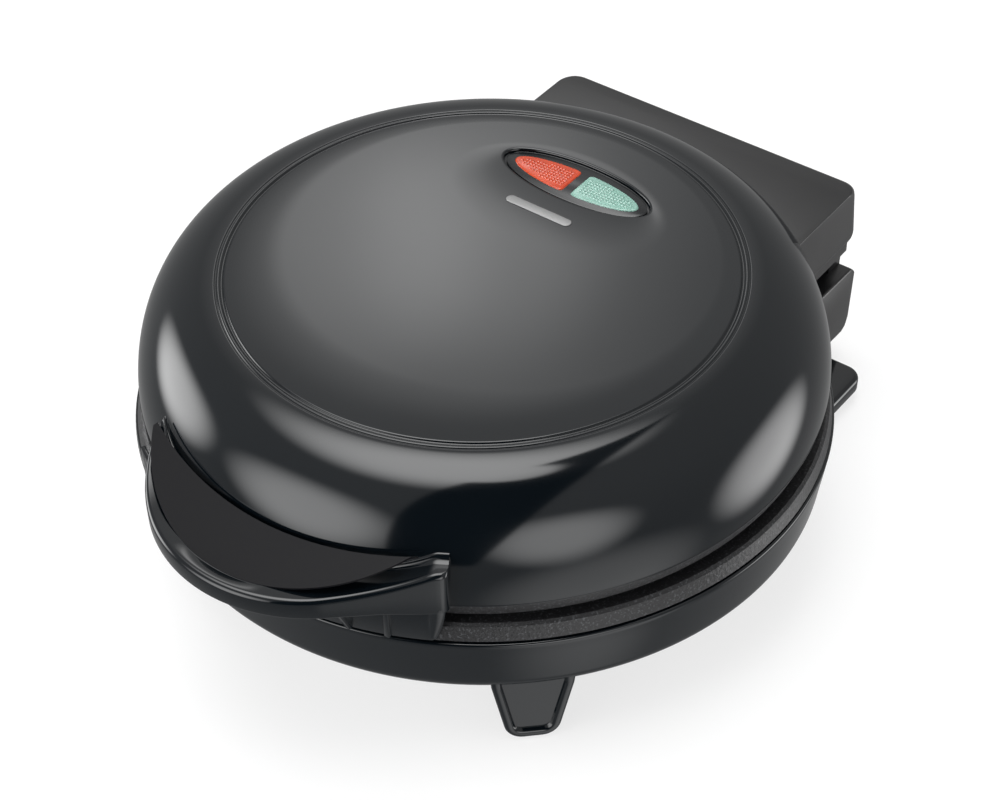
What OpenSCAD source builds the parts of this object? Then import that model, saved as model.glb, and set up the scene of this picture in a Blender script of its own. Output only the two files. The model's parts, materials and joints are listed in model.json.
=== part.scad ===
/* [Base] */
// Outer radius of the base at its rim
base_r = 109.2; // [105:0.1:115]
// Outer radius of the base at its lower edge
base_foot_r = 107.2; // [103:0.1:109]
// Height of the rim above the floor
rim_z = 43.7; // [40:0.1:48]
// Height of the flat underside of the bowl
belly_z = 22; // [20:0.5:24]
// Wall thickness of the plastic mouldings
wall = 2.5; // [1.8:0.1:3]

/* [Baking plates] */
// Radius of the upper plate
plate_r = 105.2; // [102:0.1:105.5]
// Top face of the lower plate
plate_z = 49.9; // [46:0.1:52]
// Thickness of the cast plates
plate_t = 3; // [2.5:0.1:4]
// Radius of the circle that the six outer donuts stand on
pitch_r = 68; // [66:0.5:70]
// Radius of the ring line of one donut
donut_r = 20.5; // [19:0.5:21]
// Radius of the dough tube of one donut
tube_r = 10.5; // [9:0.5:11]
// Thickness of the cast wall round a donut mould
cup_t = 2.2; // [1.8:0.1:2.4]
// Space between the plates at the front edge
front_gap = 0.5; // [0.4:0.1:2]
// Space between the plates at the rear edge
rear_gap = 6.3; // [4:0.1:7]

/* [Lid] */
// Height of the lid's disc above the upper plate's parting face
lid_h = 39.9; // [38:0.1:42]
// Radius of the lid at its lower edge
lid_r = 106.5; // [106:0.1:108]
// Radius at which the flat disc turns into the shoulder
disc_r = 77.4; // [70:0.1:80]
// Height of the lid's lower edge above the parting face
skirt_z = 5.7; // [5:0.1:7]
// Exponent of the shoulder curve, where 2 is an ellipse
shoulder_n = 2.19; // [2:0.01:2.5]

/* [Handle] */
// Reach of the handle in front of the lid's axis
handle_reach = 127.6; // [124:0.1:130]
// Radius of the handle's rounded front in plan
handle_r = 50; // [48:0.5:54]
// Half the width of the handle where it meets the lid
handle_x = 55.5; // [54:0.1:57]
// Height of the handle's underside above the parting face
handle_z = 7.5; // [6:0.1:9]

/* [Rear housings] */
// Half the width of both rear housings
house_x = 57.5; // [55:0.5:60]
// Rear face of the base housing, measured from the base's axis
house_reach = 133.2; // [131:0.1:135]
// Height of the base housing's flat top
house_top_z = 36.8; // [34:0.1:38]
// Height of the base housing's underside
house_low_z = 9.8; // [9.5:0.1:11]

/* [Hinge] */
// Hinge axis behind the base's axis
hinge_reach = 127.2; // [125:0.1:129]
// Height of the hinge axis
hinge_z = 40.2; // [39:0.1:42]
// Outer radius of the hinge knuckles
knuckle_r = 3.9; // [3.4:0.1:4]
// Radius of the hinge pins
pin_r = 2; // [1.5:0.1:2]

/* [Feet] */
// Angle of the front legs from the front, seen from above
leg_angle = 44.5; // [35:0.5:55]
// Width of a front leg where it leaves the bowl
leg_top_w = 24; // [20:0.5:28]
// Width of a front leg at its rounded foot
leg_foot_w = 14; // [12:0.5:18]
// Half the width of the rear foot
rear_foot_x = 75; // [70:0.5:78]

/* [Lamps] */
// Centre of the lamps to the side of the lid's axis
lamp_x = -0.8; // [-3:0.1:3]
// Centre of the lamps behind the lid's axis
lamp_y = 49.6; // [45:0.1:52]
// Half the length of the oval recess
recess_a = 27.6; // [25:0.1:29]
// Half the width of the oval recess
recess_b = 10.1; // [9:0.1:11]

/* [Hidden] */
$fn = 96;

eps = 0.01;
fit = 0.05;              // radial clearance of a running or screwed fit
gap = 0.3;               // clearance between neighbouring mouldings
far = 300;               // longer than the object, for cutting

// Plan: the handle's front and the rear housing's back lie as far from the origin as each other.
axis_y = (handle_reach - house_reach) / 2;
hinge_y = axis_y + hinge_reach;

// Closed lid: it rests on the front edge and the hinge holds the rear of the plates apart.
lid_tilt = atan((rear_gap - front_gap) / (2 * plate_r));
lid_z = plate_z + (front_gap + rear_gap) / 2;

lower_rim_top_r = plate_r + 2;
lower_rim_r = plate_r + 3.1;
lower_flange_z = rim_z + 0.8;
cup_r = tube_r + cup_t;
house_front = 84;            // front wall of the base housing, under the bowl

// The hinge axis in the lid's own frame
hinge_lid_y = hinge_reach * cos(lid_tilt) + (hinge_z - lid_z) * sin(lid_tilt);
hinge_lid_z = (hinge_z - lid_z) * cos(lid_tilt) - hinge_reach * sin(lid_tilt);

knuckle_in = [25, 33];       // inner base knuckles, from x to x
knuckle_mid = [33.3, 45];    // lid knuckles
knuckle_out = [45.3, 53];    // outer base knuckles

screw_r = 1.75;
screw_head_r = 3.5;
screw_head_h = 2;
boss_r = 4.2;
plate_screw_r = 93;          // the plate bosses stand between the outer donuts
plate_screw_angles = [30, 150, 270];

element_r = 60;
element_wire_r = 3.25;
element_tail_x = 14;
element_tail_y = 84;
reflector_r = 98;
reflector_t = 0.8;
reflector_rim = 4;

// ---------------------------------------------------------------- helpers

// Places a piece of the lid in the closed position.
module closed_lid() {
    translate([0, axis_y, lid_z]) rotate([lid_tilt, 0, 0]) children();
}

module base_axis() {
    translate([0, axis_y, 0]) children();
}

module both_sides() {
    children();
    mirror([1, 0, 0]) children();
}

// A round bar along X from x0 to x1.
module bar_x(r, x0, x1) {
    translate([x0, 0, 0]) rotate([0, 90, 0]) cylinder(r = r, h = x1 - x0);
}

module rounded_rect(half_x, half_y, r) {
    square([2 * (half_x - r), 2 * half_y], center = true);
    square([2 * half_x, 2 * (half_y - r)], center = true);
    for (sx = [-1, 1], sy = [-1, 1]) {
        translate([sx * (half_x - r), sy * (half_y - r)]) circle(r = r, $fn = 48);
    }
}

module oval(a, b) {
    polygon([for (t = [0 : 6 : 354]) [a * cos(t), b * sin(t)]]);
}

// Centres of the seven donuts.
donut_places = concat([[0, 0]], [for (k = [0 : 5]) pitch_r * [cos(60 * k), sin(60 * k)]]);

// The three places where a plate is screwed down.
module plate_screw_spots() {
    for (a = plate_screw_angles) {
        rotate([0, 0, a]) translate([plate_screw_r, 0, 0]) children();
    }
}

// A screw standing on its tip at z = 0 with its head on top.
module screw(length) {
    cylinder(r = screw_r, h = length);
    translate([0, 0, length]) difference() {
        cylinder(r = screw_head_r, h = screw_head_h);
        for (a = [0, 90]) {
            rotate([0, 0, a]) translate([-2, -0.4, screw_head_h - 1]) cube([4, 0.8, 1 + eps]);
        }
    }
}

// ---------------------------------------------------------------- lid outline

shoulder_drop = 36.7;          // height of the whole shoulder curve; the skirt ends it early
shoulder_last = 87;            // where along the curve it ends, in degrees

// Radius and height of the lid's outer skin; s runs from the disc (0) to the lower edge.
function shoulder(s, inset) = [
    disc_r - inset + (lid_r - disc_r) * pow(sin(s), 2 / shoulder_n),
    lid_h - inset - shoulder_drop * (1 - pow(cos(s), 2 / shoulder_n))
];

module lid_profile(inset, low_z) {
    polygon(concat(
        [[0, low_z], [0, lid_h - inset]],
        [for (s = [0 : 6 : 84]) shoulder(s, inset)],
        [shoulder(shoulder_last, inset)],
        [[lid_r - inset, low_z]]
    ));
}

module lid_solid(inset, low_z) {
    rotate_extrude($fn = 180) lid_profile(inset, low_z);
}

// ---------------------------------------------------------------- base body

bowl_edge_r = 4;               // rounding between the bowl's underside and its wall
bowl_edge_z = belly_z + bowl_edge_r;

// Rounded lower edge of the bowl, grown by extra.
function bowl_edge(extra) = [
    for (a = [0 : 15 : 90])
        [base_foot_r - bowl_edge_r, bowl_edge_z] + (bowl_edge_r + extra) * [sin(a), -cos(a)]
];

module bowl_profile() {
    polygon(concat(
        [[0, belly_z]],
        bowl_edge(0),
        [
            [base_r - 0.6, rim_z - 3], [base_r, rim_z - 1.5], [base_r - 0.8, rim_z],
            [base_r - wall - 1, rim_z], [base_r - wall - 1, rim_z - 2],
            [base_foot_r - wall, bowl_edge_z], [base_foot_r - bowl_edge_r, belly_z + wall],
            [0, belly_z + wall]
        ]
    ));
}

// The room that the bowl takes up in the rear housing.
module bowl_space() {
    rotate_extrude($fn = 180) polygon(concat(
        [[0, belly_z - fit]],
        bowl_edge(fit),
        [[base_r + fit, rim_z - 3], [base_r + fit, far], [0, far]]
    ));
}

// Side outline of the base housing in the Y-Z plane, from the base's axis.
module house_outline(inset) {
    back = house_reach - inset;
    top = house_top_z - inset;
    low = house_low_z + (inset > 0 ? -eps : 0);
    front = house_front + inset;
    polygon([
        [front, low], [back - 4.5, low], [back - 2, low + 1.4], [back - 0.6, low + 5],
        [back, top - 2.8], [back - 2.9, top], [front, top]
    ]);
}

module house_block(inset) {
    half_x = house_x - inset;
    rotate([90, 0, 90]) translate([0, 0, -half_x])
        linear_extrude(2 * half_x) house_outline(inset);
}

module leg_outline() {
    h = belly_z + 6;
    top = leg_top_w / 2;
    foot = leg_foot_w / 2;
    polygon(concat(
        [[-top - 1, h], [-top, h - 5]],
        [for (a = [180 : 15 : 360]) [foot * cos(a), 5.8 + 5 * sin(a)]],
        [[top, h - 5], [top + 1, h]]
    ));
}

leg_panel_depth = 0.8;

// A tapered leg under the bowl's edge, with a shallow panel in its outer face.
module leg() {
    depth = 17;
    intersection() {
        difference() {
            translate([0, -base_foot_r + depth, 0]) rotate([90, 0, 0])
                linear_extrude(depth + 5) leg_outline();
            translate([0, -base_foot_r + leg_panel_depth, 0]) rotate([90, 0, 0]) linear_extrude(10)
                polygon([[-8.6, belly_z], [-4, 4], [4, 4], [8.6, belly_z]]);
        }
        difference() {
            cylinder(r = base_foot_r - 0.4, h = belly_z + 3, $fn = 180);
            translate([0, 0, belly_z + 1]) cylinder(r = base_foot_r - 6, h = far);
        }
    }
}

module base_knuckles(r) {
    for (k = [knuckle_in, knuckle_out]) {
        both_sides() bar_x(r, k[0], k[1]);
    }
}

// Web from a knuckle to the moulding below it (or, for the lid, above it).
module knuckle_web(k, back, down) {
    both_sides() translate([k[0], -knuckle_r, down ? -knuckle_r - 1 : 0])
        cube([k[1] - k[0], knuckle_r + back, knuckle_r + 1]);
}

// Round bowl with its two front legs and the bosses for the lower plate and the wiring cover.
module base_shell() {
    color("#101113") difference() {
        union() {
            base_axis() {
                rotate_extrude($fn = 180) bowl_profile();
                for (a = [-leg_angle, leg_angle]) {
                    rotate([0, 0, a]) leg();
                }
                plate_screw_spots() translate([0, 0, belly_z + 1]) cylinder(r = boss_r, h = 10);
            }
            cover_bosses(cover_front_screws, belly_z + wall - 1);
        }
        base_axis() {
            plate_screw_spots() {
                cylinder(r = screw_r + fit, h = far);
                translate([0, 0, belly_z - 1])
                    cylinder(r = screw_head_r + 0.4, h = 1 + screw_head_h + 0.4);
            }
            for (x = rear_foot_screw_x) {
                translate([x, rear_foot_neck_y, belly_z - 1]) cylinder(r = screw_r + fit, h = far);
            }
            lead_slot();
            for (a = [-leg_angle, leg_angle]) {
                rotate([0, 0, a]) translate([0, -leg_pad_place, -1])
                    cylinder(r = leg_pad_r + fit, h = 1 + leg_pad_h + fit);
            }
        }
    }
}

// Hollow housing behind the bowl, with the four hinge knuckles on its top.
module base_rear_housing() {
    color("#121316") difference() {
        union() {
            base_axis() difference() {
                house_block(0);
                house_block(wall);
            }
            translate([0, hinge_y, hinge_z]) {
                base_knuckles(knuckle_r);
                knuckle_web(knuckle_in, knuckle_r, true);
                knuckle_web(knuckle_out, knuckle_r, true);
            }
            cover_bosses(cover_rear_screws, house_top_z - 1);
        }
        base_axis() bowl_space();
        translate([0, hinge_y, hinge_z]) {
            both_sides() bar_x(pin_r + eps, knuckle_in[0] - 1, knuckle_out[1] + 1);
            both_sides() bar_x(knuckle_r + 0.6, knuckle_mid[0] - gap, knuckle_mid[1] + gap);
        }
        translate([gland_x, axis_y + house_reach + 7, gland_z]) rotate([90, 0, 0])
            cylinder(r = gland_neck_r + fit, h = 12);
    }
}

// Slot in the bowl's rear wall for the leads that pass into the housing.
module lead_slot() {
    translate([-16, base_foot_r - 12, belly_z + wall + 1]) cube([32, 16, 6]);
}

cover_t = 2;
cover_screw_h = 0.9;           // head of a cover screw, sunk into the cover
cover_screw_length = 8;
cover_front_screws = [[-45, 91], [45, 91]];
cover_rear_screws = [[-50, 114], [50, 114]];
cover_screw_places = concat(cover_front_screws, cover_rear_screws);

// Screw bosses from the wiring cover up to top.
module cover_bosses(places, top) {
    for (p = places) {
        translate([p[0], p[1], house_low_z + cover_t]) difference() {
            cylinder(r = 3.6, h = top - house_low_z - cover_t);
            translate([0, 0, -1]) cylinder(r = screw_r + fit, h = cover_screw_length + 4);
        }
    }
}

// Plate that closes the wiring space under the base housing.
module wiring_cover() {
    half_x = house_x - wall - 0.2;
    front = axis_y + house_front + wall + 0.2;
    back = axis_y + house_reach - wall - 4.8;
    color("#1b1c1f") difference() {
        translate([-half_x, front, house_low_z]) cube([2 * half_x, back - front, cover_t]);
        for (p = cover_screw_places) {
            translate([p[0], p[1], 0]) cylinder(r = screw_r + fit, h = far);
            translate([p[0], p[1], 0]) cylinder(r = screw_head_r + 0.2, h = house_low_z + 1);
        }
    }
}

module cover_screws() {
    color("silver") for (p = cover_screw_places) {
        translate([p[0], p[1], house_low_z + 1 + cover_screw_length]) rotate([180, 0, 0]) {
            cylinder(r = screw_r, h = cover_screw_length);
            translate([0, 0, cover_screw_length]) cylinder(r = screw_head_r, h = cover_screw_h);
        }
    }
}

rear_foot_neck_y = 70;
rear_foot_screw_x = [-30, 30];
rear_foot_back = 115.9;       // from the base's axis
rear_foot_front = 55;
rear_foot_top = 9.2;
rear_foot_low = 3.5;
rear_foot_seat = 12;           // height at which its screw heads sit

module rear_foot() {
    mid = (rear_foot_back + rear_foot_front) / 2;
    half_y = (rear_foot_back - rear_foot_front) / 2;
    color("#121315") base_axis() difference() {
        union() {
            translate([0, mid, rear_foot_low]) linear_extrude(rear_foot_top - 1 - rear_foot_low)
                rounded_rect(rear_foot_x, half_y, 6);
            translate([0, mid, rear_foot_low]) linear_extrude(rear_foot_top - rear_foot_low)
                rounded_rect(rear_foot_x - 1, half_y - 1, 5);
            translate([0, rear_foot_neck_y, rear_foot_low]) linear_extrude(belly_z - rear_foot_low)
                rounded_rect(44, 12, 6);
        }
        for (x = rear_foot_screw_x) {
            translate([x, rear_foot_neck_y, 0]) {
                cylinder(r = screw_r + fit, h = far);
                cylinder(r = screw_head_r + 0.4, h = rear_foot_seat);
            }
        }
        for (sx = [-1, 1]) {
            translate([sx * pad_rear_x, pad_rear_y, 0]) cylinder(r = pad_r + fit, h = pad_h + fit);
        }
    }
}

module rear_foot_screws() {
    tip_z = belly_z + wall - 0.2;
    color("silver") base_axis() for (x = rear_foot_screw_x) {
        translate([x, rear_foot_neck_y, tip_z]) rotate([180, 0, 0]) screw(tip_z - rear_foot_seat);
    }
}

pad_r = 5.5;
pad_h = 4.5;
pad_rear_x = 62;
pad_rear_y = 100;
leg_pad_r = 4;
leg_pad_h = 2.4;
leg_pad_place = base_foot_r - 8.5;

// Rubber discs, let into the rear foot and the tips of the legs.
module foot_pads() {
    color("#26262a") base_axis() {
        for (sx = [-1, 1]) {
            translate([sx * pad_rear_x, pad_rear_y, 0]) cylinder(r = pad_r, h = pad_h);
        }
        for (a = [-leg_angle, leg_angle]) {
            rotate([0, 0, a]) translate([0, -leg_pad_place, 0]) cylinder(r = leg_pad_r, h = leg_pad_h);
        }
    }
}

// Seven half-torus grooves, or the wall round them, under the plane z = 0.
module donut_rings(r) {
    for (p = donut_places) {
        translate(p) rotate_extrude($fn = 72) intersection() {
            translate([donut_r, 0]) circle(r = r, $fn = 48);
            translate([0, -2 * r]) square([4 * donut_r, 2 * r]);
        }
    }
}

// A cast plate: face up at z = 0, with its rim, moulds and screw bosses below; children are cut away.
module plate_casting(top_r, rim_r, rim_depth, boss_depth) {
    difference() {
        union() {
            rotate_extrude($fn = 180) polygon([
                [0, -plate_t], [0, 0], [top_r - 1, 0], [top_r, -0.8], [rim_r, -rim_depth],
                [rim_r - 3.2, -rim_depth], [rim_r - 5, -plate_t]
            ]);
            donut_rings(cup_r);
            plate_screw_spots() translate([0, 0, -boss_depth]) cylinder(r = boss_r, h = boss_depth - 1);
        }
        translate([0, 0, eps]) donut_rings(tube_r);
        children();
    }
}

module lower_plate() {
    boss_depth = plate_z - belly_z - 11;
    color("#2b2c2e") translate([0, axis_y, plate_z])
        plate_casting(lower_rim_top_r, lower_rim_r, plate_z - lower_flange_z, boss_depth) {
            plate_screw_spots() translate([0, 0, -boss_depth - eps])
                cylinder(r = screw_r + fit, h = boss_depth - 4);
        }
}

// Sheathed ring heater with two straight cold ends to the rear.
module element() {
    open = asin(element_tail_x / element_r);
    rotate([0, 0, 90 + open]) rotate_extrude(angle = 360 - 2 * open, $fn = 120)
        translate([element_r, 0]) circle(r = element_wire_r);
    for (sx = [-1, 1]) {
        translate([sx * element_tail_x, element_r - 5, 0]) rotate([-90, 0, 0])
            cylinder(r = element_wire_r + 0.2, h = element_tail_y - element_r + 5);
        translate([sx * element_tail_x - 2, element_tail_y - 1, -0.4]) cube([4, 9, 0.8]);
    }
}

element_space = 0.3;           // between a heater and the mould walls
lower_element_z = plate_z - cup_r - element_wire_r - element_space;

module lower_element() {
    color("#7d7a74") translate([0, axis_y, lower_element_z]) element();
}

// Thin pressed tray with a turned-up rim; it grips the screw bosses.
module reflector() {
    r = reflector_r;
    difference() {
        rotate_extrude($fn = 120) polygon([
            [0, 0], [r - 1, 0], [r + 1.5, reflector_rim], [r + 0.7, reflector_rim], [r - 1.6, reflector_t],
            [0, reflector_t]
        ]);
        plate_screw_spots() translate([0, 0, -1]) cylinder(r = boss_r + fit, h = far);
    }
}

module lower_reflector() {
    color("#b9bbbd") translate([0, axis_y, belly_z + wall]) reflector();
}

module thermostat() {
    color("#d9d2c2") translate([0, axis_y + 92, 0]) {
        translate([0, 0, plate_z - plate_t - 9]) cylinder(r = 7.5, h = 9);
        translate([-9, -4, plate_z - plate_t - 2]) cube([18, 8, 2]);
        for (sx = [-1, 1]) {
            translate([sx * 4 - 1.5, -0.4, plate_z - plate_t - 16]) cube([3, 0.8, 7.5]);
        }
    }
}

fuse_r = 2.2;

module thermal_fuse() {
    color("#e9e4d8") translate([22, axis_y + 88, belly_z + wall + reflector_t + fuse_r]) {
        bar_x(fuse_r, 0, 12);
        bar_x(0.5, -3, 15);
    }
}

module terminal_block() {
    color("#e7e2d3") translate([-18, 108.5, house_low_z + cover_t]) difference() {
        cube([36, 12, 11]);
        for (k = [0 : 2]) {
            translate([6 + 12 * k, 6, 3]) cylinder(r = 2.4, h = far);
            translate([6 + 12 * k, -1, 5]) rotate([-90, 0, 0]) cylinder(r = 1.6, h = 14);
        }
    }
}

gland_x = 36;
gland_z = 21;
gland_neck_r = 5.2;
gland_bore_r = 3.3;

// Rubber bushing in the rear wall; the mains lead would pass through its bore.
module cord_gland() {
    color("#1d1d20") translate([gland_x, axis_y + house_reach - 0.1, gland_z]) rotate([90, 0, 0])
        difference() {
            union() {
                cylinder(r = gland_neck_r, h = wall + 2.4);
                translate([0, 0, wall + 0.8]) cylinder(r = gland_neck_r + 1.8, h = 1.6);
            }
            translate([0, 0, -1]) cylinder(r = gland_bore_r, h = 12);
        }
}

module base_plate_screws() {
    length = 17;
    color("silver") base_axis() plate_screw_spots()
        translate([0, 0, belly_z + screw_head_h + 0.4 + length]) rotate([180, 0, 0]) screw(length);
}

module hinge_pins() {
    color("silver") translate([0, hinge_y, hinge_z])
        both_sides() bar_x(pin_r, knuckle_in[0] + 0.5, knuckle_out[1] - 0.5);
}

// ---------------------------------------------------------------- lid body

handle_screw_angle = 20;
handle_screw_z = 12;
handle_screw_length = 6.5;

module handle_screw_axes() {
    for (a = [-handle_screw_angle, handle_screw_angle]) {
        rotate([0, 0, a]) translate([0, -lid_r + wall + 0.2, handle_screw_z]) rotate([90, 0, 0])
            children();
    }
}

// Groove ring round the disc: a narrow step and a fine line beside it.
module disc_groove() {
    rotate_extrude($fn = 180) translate([disc_r, lid_h - 0.7]) square([2.2, 2]);
}

lead_hole_z = 9.5;

// Holes in the lid's rear wall for the leads that pass into its housing.
module lid_lead_holes() {
    for (x = [-30, 30]) {
        translate([x, lid_r - 40, lead_hole_z]) rotate([-90, 0, 0]) cylinder(r = 2.6, h = 50);
    }
}

module lid_shell() {
    color("#0e0f11") closed_lid() difference() {
        union() {
            difference() {
                lid_solid(0, skirt_z);
                lid_solid(wall, -1);
            }
            intersection() {
                lid_solid(wall / 2, plate_t);
                plate_screw_spots() translate([0, 0, plate_t]) cylinder(r = boss_r, h = lid_h);
            }
        }
        disc_groove();
        translate([lamp_x, lamp_y, lid_h - 1.2]) linear_extrude(5) oval(recess_a, recess_b);
        translate([lamp_x, lamp_y, lid_h - 10]) linear_extrude(20) oval(recess_a - 2.4, recess_b - 2.4);
        plate_screw_spots() translate([0, 0, -1]) cylinder(r = screw_r + fit, h = 20);
        handle_screw_axes() {
            translate([0, 0, -4]) cylinder(r = screw_r + fit, h = 14);
            translate([0, 0, -4]) cylinder(r = screw_head_r + 0.2, h = 4);
        }
        lid_lead_holes();
    }
}

house_back_lid = 132;          // rearmost line of the lid housing, from the lid's axis
house_top_lid = 16;
house_low_lid = -4.9;
house_corner_r = 5.5;          // rounding of its rear corners, seen from above
house_root_y = 60;             // both lid housings start inside the lid's outline
bracket_low_lid = hinge_lid_z + knuckle_r + 0.5;

module lid_house_outline(inset) {
    back = house_back_lid - inset;
    top = house_top_lid - inset;
    low = house_low_lid - (inset > 0 ? eps : 0);
    polygon([
        [house_root_y, low], [house_back_lid - 4.6, low], [back, house_low_lid + 4],
        [back - 2.4, house_top_lid - 3], [back - 3.5, house_top_lid - 1 - inset / 2],
        [back - 5.6, top], [house_root_y, top]
    ]);
}

module lid_house_block(inset) {
    half_x = house_x - inset;
    half_y = (house_back_lid - inset - house_root_y) / 2;
    intersection() {
        rotate([90, 0, 90]) translate([0, 0, -half_x])
            linear_extrude(2 * half_x) lid_house_outline(inset);
        translate([0, house_root_y + half_y, -far / 2]) linear_extrude(far)
            rounded_rect(half_x, half_y, house_corner_r - inset);
    }
}

module lid_rear_housing() {
    boss_h = house_top_lid - wall / 2 - house_low_lid;
    color("#1c1d20") closed_lid() difference() {
        union() {
            difference() {
                lid_house_block(0);
                lid_house_block(wall);
            }
            for (p = bracket_screw_places) {
                translate([p[0], p[1], house_low_lid]) cylinder(r = 3.4, h = boss_h);
            }
        }
        for (p = bracket_screw_places) {
            translate([p[0], p[1], house_low_lid - 1]) cylinder(r = screw_r + fit, h = 14);
        }
        lid_solid(-fit, skirt_z - fit);
        translate([0, 0, -far / 2]) cylinder(r = base_r + 1.4, h = far / 2 + skirt_z, $fn = 180);
    }
}

bracket_screw_places = [[-50, 115], [50, 115], [-17, 118], [17, 118]];

// Second tier under the lid housing; it carries the lid's two hinge knuckles.
module lid_hinge_bracket() {
    half_x = house_x - 1.5;
    front = 84;
    back = house_back_lid - 3.7;
    color("#141517") closed_lid() difference() {
        union() {
            difference() {
                translate([-half_x, front, bracket_low_lid])
                    cube([2 * half_x, back - front, house_low_lid - bracket_low_lid]);
                translate([0, 0, -far / 2]) cylinder(r = base_r + 1.4, h = far, $fn = 180);
            }
            translate([0, hinge_lid_y, hinge_lid_z]) {
                both_sides() bar_x(knuckle_r, knuckle_mid[0], knuckle_mid[1]);
                knuckle_web(knuckle_mid, 1.6, false);
            }
        }
        translate([0, hinge_lid_y, hinge_lid_z])
            both_sides() bar_x(pin_r + fit, knuckle_mid[0] - 1, knuckle_mid[1] + 1);
        for (p = bracket_screw_places) {
            translate([p[0], p[1], bracket_low_lid - 1]) cylinder(r = screw_r + fit, h = 16);
            translate([p[0], p[1], bracket_low_lid - 1])
                cylinder(r = screw_head_r + 0.3, h = 1 + screw_head_h);
        }
    }
}

module bracket_screws() {
    length = 11;
    color("silver") closed_lid() for (p = bracket_screw_places) {
        translate([p[0], p[1], bracket_low_lid + screw_head_h + length]) rotate([180, 0, 0]) {
            cylinder(r = screw_r, h = length);
            translate([0, 0, length]) cylinder(r = screw_head_r, h = screw_head_h - 0.2);
        }
    }
}

handle_flank = 41;             // the round front turns into straight flanks here, in degrees
handle_root_y = -84;           // the handle starts inside the lid's outline
handle_centre_y = handle_r - handle_reach;
apron_in_r = lower_rim_r + 0.4;
apron_t = 1.6;
apron_low_z = -4.6;
apron_top_z = handle_z + 1;
apron_half_angle = 29.5;
apron_end_w = 5;               // thicker block at each end of the apron
apron_end_t = 0.6;
handle_ends_z = 26;            // top of the handle where its ends meet the lid
lip_r = 31;                    // curve of the handle's top edge, about an axis along X
lip_y = -122;
rest_y = -121;                 // front edge of the thumb rest, which rises towards the lid
rest_z = 12.5;
rest_slope = 18.8;             // in degrees
rest_border = 4;
rib_t = 1.8;
rib_foot = 1.8;                // reach of a rib at its lower end
rib_reach = 9;                 // and under the handle
rib_pitch = 10.8;

flank_x = handle_r * sin(handle_flank);
flank_y = handle_centre_y - handle_r * cos(handle_flank);

// Outer edge of the handle at x, seen from above.
function handle_front(x) =
    abs(x) > flank_x ? flank_y + (abs(x) - flank_x) * tan(handle_flank)
    : handle_centre_y - sqrt(handle_r * handle_r - x * x);

function handle_arc(r, a) = [r * sin(a), handle_centre_y - r * cos(a)];

// Plan of the handle: round front, straight flanks and short ends, drawn in by inset.
module handle_outline(inset) {
    r = handle_r - inset;
    end_x = handle_x - inset * (1 + cos(handle_flank)) / sin(handle_flank);
    start = handle_arc(r, handle_flank);
    end_y = start.y + (end_x - start.x) * tan(handle_flank);
    polygon(concat(
        [[-end_x, handle_root_y], [-end_x, end_y]],
        [for (a = [-12 : 12]) handle_arc(r, a * handle_flank / 12)],
        [[end_x, end_y], [end_x, handle_root_y]]
    ));
}

// Everything above the hollow that the lip's top edge follows.
module above_lip() {
    translate([0, lip_y, rest_z + lip_r]) rotate([0, 90, 0])
        cylinder(r = lip_r, h = far, center = true, $fn = 180);
}

// Everything above the thumb rest's sloping face.
module above_rest() {
    translate([0, rest_y, rest_z]) rotate([rest_slope, 0, 0]) translate([-far / 2, -far / 2, 0])
        cube([far, far, far]);
}

// Curved strip below the thumb rest that covers the front of the plate gap.
module apron() {
    height = apron_top_z - apron_low_z;
    intersection() {
        rotate_extrude($fn = 180) translate([apron_in_r, apron_low_z]) square([apron_t, height]);
        rotate([0, 0, -90 - apron_half_angle]) translate([0, 0, -20])
            rotate_extrude(angle = 2 * apron_half_angle) square([far / 2, 60]);
    }
    for (a = [-apron_half_angle, apron_half_angle]) {
        rotate([0, 0, a]) translate([-apron_end_w / 2, -apron_in_r - apron_t - apron_end_t, apron_low_z])
            cube([apron_end_w, apron_t + 0.4, height]);
    }
}

// Gussets from the apron to the underside of the thumb rest.
module handle_ribs() {
    for (k = [-4 : 4]) {
        x = k * rib_pitch;
        back = -sqrt(apron_in_r * apron_in_r - x * x) - 0.6;
        front = max(handle_front(x) + 5, back - rib_reach);
        translate([x - rib_t / 2, 0, 0]) rotate([90, 0, 90]) linear_extrude(rib_t) polygon([
            [back, apron_low_z], [back - rib_foot, apron_low_z], [front, apron_top_z], [back, apron_top_z]
        ]);
    }
}

// Crescent thumb rest with its apron and ribs.
module handle() {
    color("#17181a") closed_lid() difference() {
        union() {
            difference() {
                translate([0, 0, handle_z]) linear_extrude(handle_ends_z - handle_z) handle_outline(0);
                above_lip();
                intersection() {
                    above_rest();
                    translate([0, 0, rest_z]) linear_extrude(far) handle_outline(rest_border);
                }
            }
            apron();
            handle_ribs();
        }
        lid_solid(-fit, skirt_z - 0.6);
        translate([0, 0, -20]) cylinder(r = apron_in_r, h = 20 + skirt_z - 0.5, $fn = 180);
        handle_screw_axes() cylinder(r = screw_r + fit, h = handle_screw_length + 0.5);
    }
}

module handle_screws() {
    color("silver") closed_lid() handle_screw_axes() {
        translate([0, 0, -screw_head_h]) cylinder(r = screw_head_r - 0.3, h = screw_head_h);
        cylinder(r = screw_r, h = handle_screw_length);
    }
}

bezel_a = recess_a - 1.5;
bezel_b = recess_b - 1.5;
lens_a = 23.2;
lens_b = 6.1;
lens_gap = 3;

// One D-shaped lens window, on the side given by sx, grown by extra all round.
module lens_window(sx, extra) {
    intersection() {
        oval(lens_a + extra, lens_b + extra);
        translate([sx * (far / 2 + lens_gap / 2 - extra), 0]) square([far, far], center = true);
    }
}

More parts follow.
